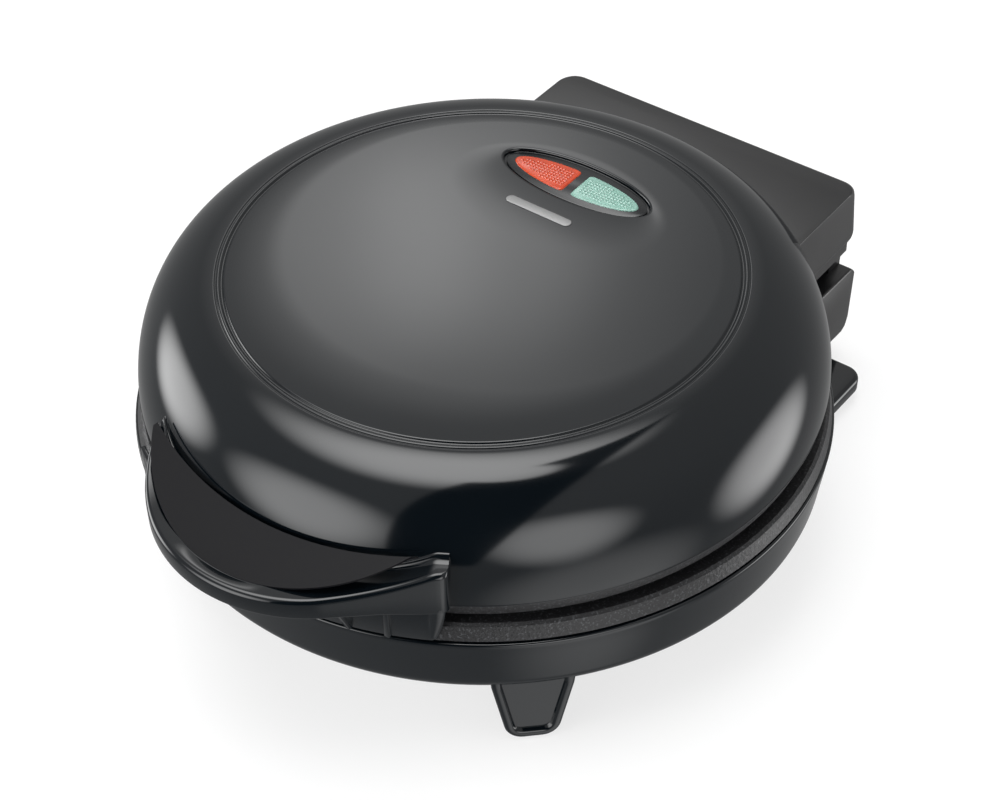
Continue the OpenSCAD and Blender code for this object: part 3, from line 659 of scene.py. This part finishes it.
def handle_section(point):
    """The cut through the handle from an outer point towards the lid's axis, as (distance, height)."""
    inward = -point.normalized()
    top = lip_height(point.y)
    low = wall_low(point)
    room = point.length - skin_radius(top)
    rounding = min(LIP_ROUND, max(LIP_ROUND_LEAST, room * LIP_ROUND_SHARE))
    foot = point.length - PANEL_INNER
    edge = max(rounding + 0.2, min(panel_edge(point, inward), foot))
    foot = max(foot, edge + 0.1)

    def rest_at(distance):
        return min(top - HAIR, rest_height((point + inward * distance).y))

    def on_skin(z, gap):
        return Vector((point.length - skin_radius(z) - gap, z))

    profile = []
    for k in range(4):
        a = math.pi / 2 * k / 3
        profile.append((UNDER_ROUND * (1 - math.sin(a)), low + UNDER_ROUND * (1 - math.cos(a))))
    for k in range(9):
        a = math.pi / 2 * k / 8
        profile.append((rounding * (1 - math.cos(a)), top - rounding * (1 - math.sin(a))))
    at_edge = rest_at(edge)
    for k in range(1, 9):
        t = k / 8
        profile.append((rounding + (edge - rounding) * t, top + (at_edge - top) * t ** 1.5))
    for k in range(1, 11):
        d = edge + (foot - edge) * k / 10
        profile.append((d, rest_at(d)))
    start = Vector(profile[-1])
    stop_z = max(start.y + FILLET_LOW, min(start.y + FILLET_HIGH, top + 1.2))
    turn = on_skin(start.y + 0.9, FILLET_OUT)
    turn.y = start.y + 0.5
    for k in range(1, 9):
        profile.append(bezier(start, turn, on_skin(stop_z, FILLET_OUT), k / 8))
    for k in range(1, 5):
        a = math.pi / 2 * k / 4
        profile.append(on_skin(stop_z + 0.5 * math.sin(a), FILLET_OUT * math.cos(a) + HAIR))
    profile.append(on_skin(stop_z, -SUNK))
    profile.append(on_skin(low, -SUNK))
    return profile, inward


def handle_mesh():
    """The handle's sections from end to end."""
    loops = []
    for point in handle_path():
        profile, inward = handle_section(point)
        loops.append([(point.x + inward.x * d, point.y + inward.y * d, z) for d, z in profile])
    return loft(loops, caps=True)


handle_body = piece("handle_body", handle_mesh(), LID_PLACE, "lid", GLOSS)

PANEL_LEFT = math.radians(-25.3)
PANEL_RIGHT = math.radians(27.6)
PANEL_PROUD = 0.10
PANEL_SUNK = 0.5
PANEL_STEPS = 96
PANEL_ROWS = 12
FAR_OUT = 140


def panel_mesh():
    """The satin insert of the thumb rest, let a little into the handle."""
    loops = []
    near = PANEL_INNER + 0.1
    for k in range(PANEL_STEPS + 1):
        a = PANEL_LEFT + (PANEL_RIGHT - PANEL_LEFT) * k / PANEL_STEPS
        outward = Vector((math.sin(a), -math.cos(a)))
        far_point = outward * FAR_OUT
        front = far_point - outward * panel_edge(far_point, -outward)
        reach = max(front.length, near + 0.05)
        across = [outward * (near + (reach - near) * j / PANEL_ROWS) for j in range(PANEL_ROWS + 1)]
        upper = [(q.x, q.y, rest_height(q.y) + PANEL_PROUD) for q in across]
        lower = [(q.x, q.y, rest_height(q.y) - PANEL_SUNK) for q in reversed(across)]
        loops.append(upper + lower)
    return loft(loops, caps=True)


panel = piece("thumb_panel", panel_mesh(), LID_PLACE, "lid", PANEL)

APRON_IN = 108.8
APRON_OUT = 110.3
APRON_LOW = -4.6
APRON_TOP = HANDLE_Z + 1
APRON_ANGLE = math.radians(29.5)
RIB_PITCH = 10.8
RIB_HALF = 0.9
BLOCK_TOP = HANDLE_Z + 0.5
BLOCK_OUT = 110.4
BLOCK_LEFT = 28.0
BLOCK_RIGHT = 31.6


def polar(r, angle, z):
    """A point at an angle from the front, seen from above."""
    return (r * math.sin(angle), -r * math.cos(angle), z)


def apron_mesh():
    """The thin curved wall under the handle."""
    loops = []
    for k in range(41):
        a = -APRON_ANGLE + 2 * APRON_ANGLE * k / 40
        loops.append([
            polar(APRON_IN, a, APRON_LOW), polar(APRON_OUT, a, APRON_LOW), polar(APRON_OUT, a, APRON_TOP),
            polar(APRON_IN, a, APRON_TOP),
        ])
    return loft(loops, caps=True)


def handle_front(x):
    """Outer edge of the handle at x, seen from above."""
    x = abs(x)
    if x > FLANK_POINT.x:
        return FLANK_POINT.y + (x - FLANK_POINT.x) * math.tan(FLANK)
    return FRONT_Y - math.sqrt(FRONT_R ** 2 - x * x)


def rib(x):
    """A three-cornered web between the apron and the underside of the handle."""
    back = -math.sqrt(APRON_OUT ** 2 - x * x) + 0.8
    front = max(handle_front(x) + 4, back - 9)
    outline = [(back, APRON_LOW), (back, APRON_TOP), (front, APRON_TOP), (back - 1.8, APRON_LOW)]
    sides = [[(x + s * RIB_HALF, y, z) for y, z in outline] for s in (-1, 1)]
    return loft(sides, caps=True)


def end_block(side, reach):
    """Solid corner of the handle that reaches down beside the plates, narrowing to its lower end."""
    inner_angle = side * math.radians(reach - 2.4)
    loops = []
    for k in range(9):
        t = k / 8
        z = BLOCK_TOP - (BLOCK_TOP - APRON_LOW) * t
        outer_angle = math.radians(reach - 1.4 * t ** 1.6)
        outer = BLOCK_OUT - 0.1 * t
        loops.append([
            polar(APRON_IN, inner_angle, z), polar(outer, inner_angle, z),
            polar(outer, side * (outer_angle - 0.012), z), polar(outer - 0.9, side * outer_angle, z),
            polar(APRON_IN, side * outer_angle, z),
        ])
    return loft(loops, caps=True)


skirt = join(apron_mesh(), *[rib(k * RIB_PITCH) for k in range(-4, 5)])
apron = piece("handle_apron", skirt, LID_PLACE, "lid", GLOSS, bevel=0.25, segments=2)
blocks = join(end_block(-1, BLOCK_LEFT), end_block(1, BLOCK_RIGHT))
ends = piece("handle_end_blocks", blocks, LID_PLACE, "lid", GLOSS, bevel=0.3, segments=2)
for part in (handle_body, panel, apron, ends):
    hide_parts("handle")

# ---------------------------------------------------------------- rear housings

HOUSE_X = 58.2
HOUSE_FRONT_R = 106.2
HOUSE_CORNER = 6
HOUSE_ARC_STEPS = 32


def extrude_x(outline, low_x, high_x):
    """A solid from a (y, z) outline, between low_x and high_x."""
    sides = [[(x, y, z) for y, z in outline] for x in (low_x, high_x)]
    return loft(sides, caps=True)


def lid_house():
    """Housing round the back of the dome, with a leaning rear wall and rounded rear corners."""
    rear_wall = [
        (-4.9, 130.8), (-4.0, 131.8), (-2.6, 132.0), (12.6, 129.8), (14.4, 129.2), (15.6, 127.8),
        (16.0, 126.2),
    ]
    half_angle = math.asin(HOUSE_X / HOUSE_FRONT_R)
    root_y = HOUSE_FRONT_R * math.cos(half_angle)
    front = []
    for k in range(1, HOUSE_ARC_STEPS):
        a = -half_angle + 2 * half_angle * k / HOUSE_ARC_STEPS
        front.append((HOUSE_FRONT_R * math.sin(a), HOUSE_FRONT_R * math.cos(a)))
    loops = []
    for z, back in rear_wall:
        corners = [
            (HOUSE_X, root_y, 0), (HOUSE_X, back, HOUSE_CORNER), (-HOUSE_X, back, HOUSE_CORNER),
            (-HOUSE_X, root_y, 0),
        ]
        loops.append([(x, y, z) for x, y in fillet_polygon(corners, 8) + front])
    return loft(loops, caps=True)


lid_housing = piece(
    "lid_housing", lid_house(), LID_PLACE, "lid", SATIN, sharp=20, bevel=0.6, segments=4
)
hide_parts("lid_rear_housing")


def base_house():
    """Housing behind the base, straight from side to side, with eased rear edges."""
    front = 84
    back = 133.2
    low = 9.8
    top = 36.8
    outline = [
        (front, low), (back - 4.5, low), (back - 2, low + 1.4), (back - 0.6, low + 5), (back, top - 2.8),
        (back - 2.9, top), (front, top),
    ]
    return extrude_x(outline, -HOUSE_X, HOUSE_X)


base_housing = piece(
    "base_housing", base_house(), BASE_PLACE, "base", SATIN, sharp=25, bevel=0.8, segments=4
)
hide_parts("base_rear_housing")

# ---------------------------------------------------------------- base

BELLY_Z = 22.0
BELLY_INNER_Z = 24.5
RIM_Z = 43.7


def bowl():
    """The base's shell: flat belly, round corner, rising wall and rim, then back along its inside."""
    profile = [
        (0.0, BELLY_Z), (60, BELLY_Z), (100.5, BELLY_Z), (102.5, BELLY_Z + 0.2), (104.6, BELLY_Z + 0.9),
        (106.1, BELLY_Z + 2.0), (106.8, BELLY_Z + 3.1), (107.1, BELLY_Z + 4.2), (107.25, BELLY_Z + 5.2),
        (107.9, 33), (108.6, 38.5), (108.95, RIM_Z - 1.9), (109.1, RIM_Z - 0.9), (109.05, RIM_Z - 0.4),
        (108.8, RIM_Z - 0.1), (108.4, RIM_Z), (106.2, RIM_Z), (105.8, RIM_Z - 0.2), (105.7, RIM_Z - 2),
        (104.6, 26.2), (103, BELLY_INNER_Z + 0.1), (60, BELLY_INNER_Z), (0.0, BELLY_INNER_Z),
    ]
    return lathe(profile)


base_bowl = piece("base_bowl", bowl(), BASE_PLACE, "base", GLOSS)

LEG_ANGLE = 44.5
LEG_FACE_R = 106.7
LEG_BACK_Y = -90.0


def leg():
    """A front leg with a raised border round its face, which follows the bowl's curve."""
    corners = [(-12.6, 28, 0), (-12, 22, 6), (-7.4, 0.8, 5.6), (7.4, 0.8, 5.6), (12, 22, 6), (12.6, 28, 0)]
    outline = fillet_polygon(corners, 8)
    border = [(0.0, 1.2), (0.12, 0.6), (0.4, 0.2), (0.9, 0.0), (2.0, 0.0), (2.5, 0.2), (2.8, 0.7), (3.1, 1.2)]
    loops = [[(x, LEG_BACK_Y, z) for x, z in outline]]
    for drawn, depth in border:
        r = LEG_FACE_R - depth
        loops.append([(x, -math.sqrt(r ** 2 - x * x), z) for x, z in inset(outline, drawn)])
    return loft(loops, caps=True)


legs = join(*[move(leg(), Matrix.Rotation(math.radians(a), 4, "Z")) for a in (-LEG_ANGLE, LEG_ANGLE)])
front_legs = piece("front_legs", legs, BASE_PLACE, "base", GLOSS)

HINGE = Vector(frame["joints"][0]["pos_m"])
HINGE_Y = (HINGE.y - AXIS_Y) / MM
HINGE_Z = HINGE.z / MM
KNUCKLE_R = 3.9
KNUCKLE_LOW = 35.5
KNUCKLES = [(25, 33), (45.3, 53)]


def knuckle(low_x, high_x):
    """A round hinge eye with its web down to the housing."""
    outline = []
    for k in range(25):
        a = math.pi * k / 24
        outline.append((HINGE_Y + KNUCKLE_R * math.cos(a), HINGE_Z + KNUCKLE_R * math.sin(a)))
    outline += [(HINGE_Y - KNUCKLE_R, KNUCKLE_LOW), (HINGE_Y + KNUCKLE_R, KNUCKLE_LOW)]
    return extrude_x(outline, low_x, high_x)


eyes = []
for near_x, far_x in KNUCKLES:
    eyes.append(knuckle(near_x, far_x))
    eyes.append(knuckle(-far_x, -near_x))
hinge_eyes = piece(
    "hinge_eyes", join(*eyes), BASE_PLACE, "base", SATIN, sharp=60, bevel=0.3, segments=2
)
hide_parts("base_rear_housing")
for part in (base_bowl, front_legs):
    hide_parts("base_shell")

FOOT_HALF_X = 75
FOOT_FRONT = 55
FOOT_BACK = 115.9
FOOT_LOW = 3.5
FOOT_TOP = 9.2
FOOT_CORNER = 6
NECK_HALF_X = 44
NECK_FRONT = 58
NECK_BACK = 82


def foot_plate():
    """Wide rear foot with a neck up to the belly."""
    foot = rounded_box(FOOT_HALF_X, FOOT_FRONT, FOOT_BACK, FOOT_CORNER)
    neck = rounded_box(NECK_HALF_X, NECK_FRONT, NECK_BACK, FOOT_CORNER, steps=6)
    return join(slab(foot, FOOT_LOW, FOOT_TOP, 1.6, low_edge=0.8), slab(neck, FOOT_LOW + 1.5, BELLY_Z, 0.3))


rear_foot = piece("rear_foot_plate", foot_plate(), BASE_PLACE, "base", GLOSS)
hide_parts("rear_foot")

# ---------------------------------------------------------------- stage, light and camera

FLOOR_SIZE = 3.0
FLOOR_GREY = 0.26
FLOOR_GLOW = 0.74
WALL_R = 2.9
WALL_HEIGHTS = (-0.01, 0.5, 2.5)
WALL_STEPS = 48


def glow(name, strength, grey):
    """A dull material with a white glow of its own."""
    material, tree, bsdf = shader(name)
    cloud = noise(tree, 2.0, 2.0)
    dark = (grey, grey, grey)
    light = tuple(c * 1.03 for c in dark)
    tint(tree, cloud.outputs["Fac"], dark, light, bsdf.inputs["Base Color"])
    bsdf.inputs["Roughness"].default_value = 0.9
    bsdf.inputs["Specular IOR Level"].default_value = 0.0
    bsdf.inputs["Emission Color"].default_value = (1, 1, 1, 1)
    bsdf.inputs["Emission Strength"].default_value = strength
    return material


def stage_thing(name, points, faces, material):
    """A floor or wall: it stays out of the gloss and casts no shadow."""
    mesh = bpy.data.meshes.new(name)
    mesh.from_pydata(points, [], faces)
    mesh.materials.append(material)
    thing = bpy.data.objects.new(name, mesh)
    bpy.context.scene.collection.objects.link(thing)
    thing.visible_glossy = False
    thing.visible_shadow = False
    return thing


def stage_floor():
    """A pale sheet under the object that takes soft shadows."""
    corners = square(0, 0, FLOOR_SIZE, 0)
    stage_thing("floor", corners, [(0, 1, 2, 3)], glow("pale_floor", FLOOR_GLOW, FLOOR_GREY))


def backdrop():
    """A pale wall all round, far behind the object, that only the camera meets."""
    points = []
    for z in WALL_HEIGHTS:
        points += oval(WALL_R, WALL_R, z, WALL_STEPS)
    wall = stage_thing("backdrop", points, bridge(len(WALL_HEIGHTS), WALL_STEPS), glow("pale_wall", 1.0, 0.0))
    wall.visible_diffuse = False
    wall.visible_transmission = False


def direction(azimuth, elevation):
    """Unit vector towards an azimuth from the object's front and an elevation, in degrees."""
    a = math.radians(azimuth)
    e = math.radians(elevation)
    return Vector((math.sin(a) * math.cos(e), -math.cos(a) * math.cos(e), math.sin(e)))


# Soft lights round the object: azimuth, elevation, radius of the full part, radius of the fade, strength.
SOFT_LIGHTS = {
    "overhead": (-105, 80, 2, 31, 6.3),
    "above_left": (-141, 42, 2, 26, 0.3),
    "disc_halo": (-139, 39.6, 0.3, 9, 0.9),
    "disc_spot_a": (-137, 39.4, 0.2, 4.2, 1.3),
    "disc_spot_b": (-141, 39.4, 0.2, 4.2, 1.3),
    "left": (-73, 5, 2, 23, 6.2),
    "front_left": (-17, 9, 4, 32, 4.6),
    "front_right": (58, 8, 3, 27, 3.4),
    "right": (129, -12, 2, 25, 4.6),
    "below_right": (72, -38, 5, 32, 1.1),
}
FILL = 0.42
FILL_BELOW = FILL * 0.8
FILL_ABOVE = FILL * 1.35

# The dark card: the way its left edge and its slanting right edge face, and the elevations of the fades
# along its lower and its upper edge.
CARD_LEFT = direction(98, 0)
CARD_RIGHT = (-0.740, -0.589, 0.325)
CARD_LOW = (-14, -9)
CARD_TOP = (78, 83)
CARD_DARK = 0.02


def studio():
    """Soft lights as smooth patches of the world, with a dark card that keeps part of the front black."""
    world = bpy.data.worlds.new("studio")
    bpy.context.scene.world = world
    world.use_nodes = True
    tree = world.node_tree
    coords = tree.nodes.new("ShaderNodeTexCoord")

    def towards(vector):
        dot = tree.nodes.new("ShaderNodeVectorMath")
        dot.operation = "DOT_PRODUCT"
        dot.inputs[1].default_value = vector
        tree.links.new(coords.outputs["Generated"], dot.inputs[0])
        return dot.outputs["Value"]

    def fade(source, low, high, to_low, to_high):
        span = tree.nodes.new("ShaderNodeMapRange")
        span.interpolation_type = "SMOOTHSTEP"
        span.inputs["From Min"].default_value = low
        span.inputs["From Max"].default_value = high
        span.inputs["To Min"].default_value = to_low
        span.inputs["To Max"].default_value = to_high
        tree.links.new(source, span.inputs["Value"])
        return span.outputs["Result"]

    def combine(operation, a, b):
        node = tree.nodes.new("ShaderNodeMath")
        node.operation = operation
        tree.links.new(a, node.inputs[0])
        tree.links.new(b, node.inputs[1])
        return node.outputs["Value"]

    def by_height(elevations, to_low, to_high):
        low, high = [math.sin(math.radians(e)) for e in elevations]
        return fade(up, low, high, to_low, to_high)

    up = towards((0, 0, 1))
    total = fade(up, -0.6, 0.9, FILL_BELOW, FILL_ABOVE)
    for azimuth, elevation, full, edge, strength in SOFT_LIGHTS.values():
        value = towards(direction(azimuth, elevation))
        patch = fade(value, math.cos(math.radians(edge)), math.cos(math.radians(full)), 0.0, strength)
        total = combine("ADD", total, patch)
    left_side = fade(towards(CARD_LEFT), -0.01, 0.03, 0.0, 1.0)
    right_side = fade(towards(CARD_RIGHT), -0.01, 0.04, 0.0, 1.0)
    above = by_height(CARD_LOW, 0.0, 1.0)
    below = by_height(CARD_TOP, 1.0, 0.0)
    card = combine("MULTIPLY", combine("MULTIPLY", left_side, right_side), combine("MULTIPLY", above, below))
    total = combine("MULTIPLY", total, fade(card, 0.0, 1.0, 1.0, CARD_DARK))
    tree.links.new(total, tree.nodes["Background"].inputs["Strength"])
    tree.nodes["Background"].inputs["Color"].default_value = (1.0, 1.0, 1.0, 1)


CAMERA_AZIMUTH = 36.8
CAMERA_ELEVATION = 41.32
CAMERA_LENS = 77.1
CAMERA_FROM_DISC = Vector((0.30826, -0.40319, 0.39203))


def camera():
    """A level camera; its axis points by the two angles and passes beside the middle of the disc."""
    disc = LID_PLACE @ Vector((0, 0, LID_H))
    data = bpy.data.cameras.new("camera")
    data.lens = CAMERA_LENS
    data.sensor_width = 36
    data.clip_start = 0.01
    view = bpy.data.objects.new("camera", data)
    view.location = disc + CAMERA_FROM_DISC
    view.rotation_euler = direction(CAMERA_AZIMUTH, CAMERA_ELEVATION).to_track_quat("Z", "Y").to_euler()
    bpy.context.scene.collection.objects.link(view)
    bpy.context.scene.camera = view


stage_floor()
backdrop()
studio()
camera()
bpy.context.scene.view_settings.view_transform = "Standard"
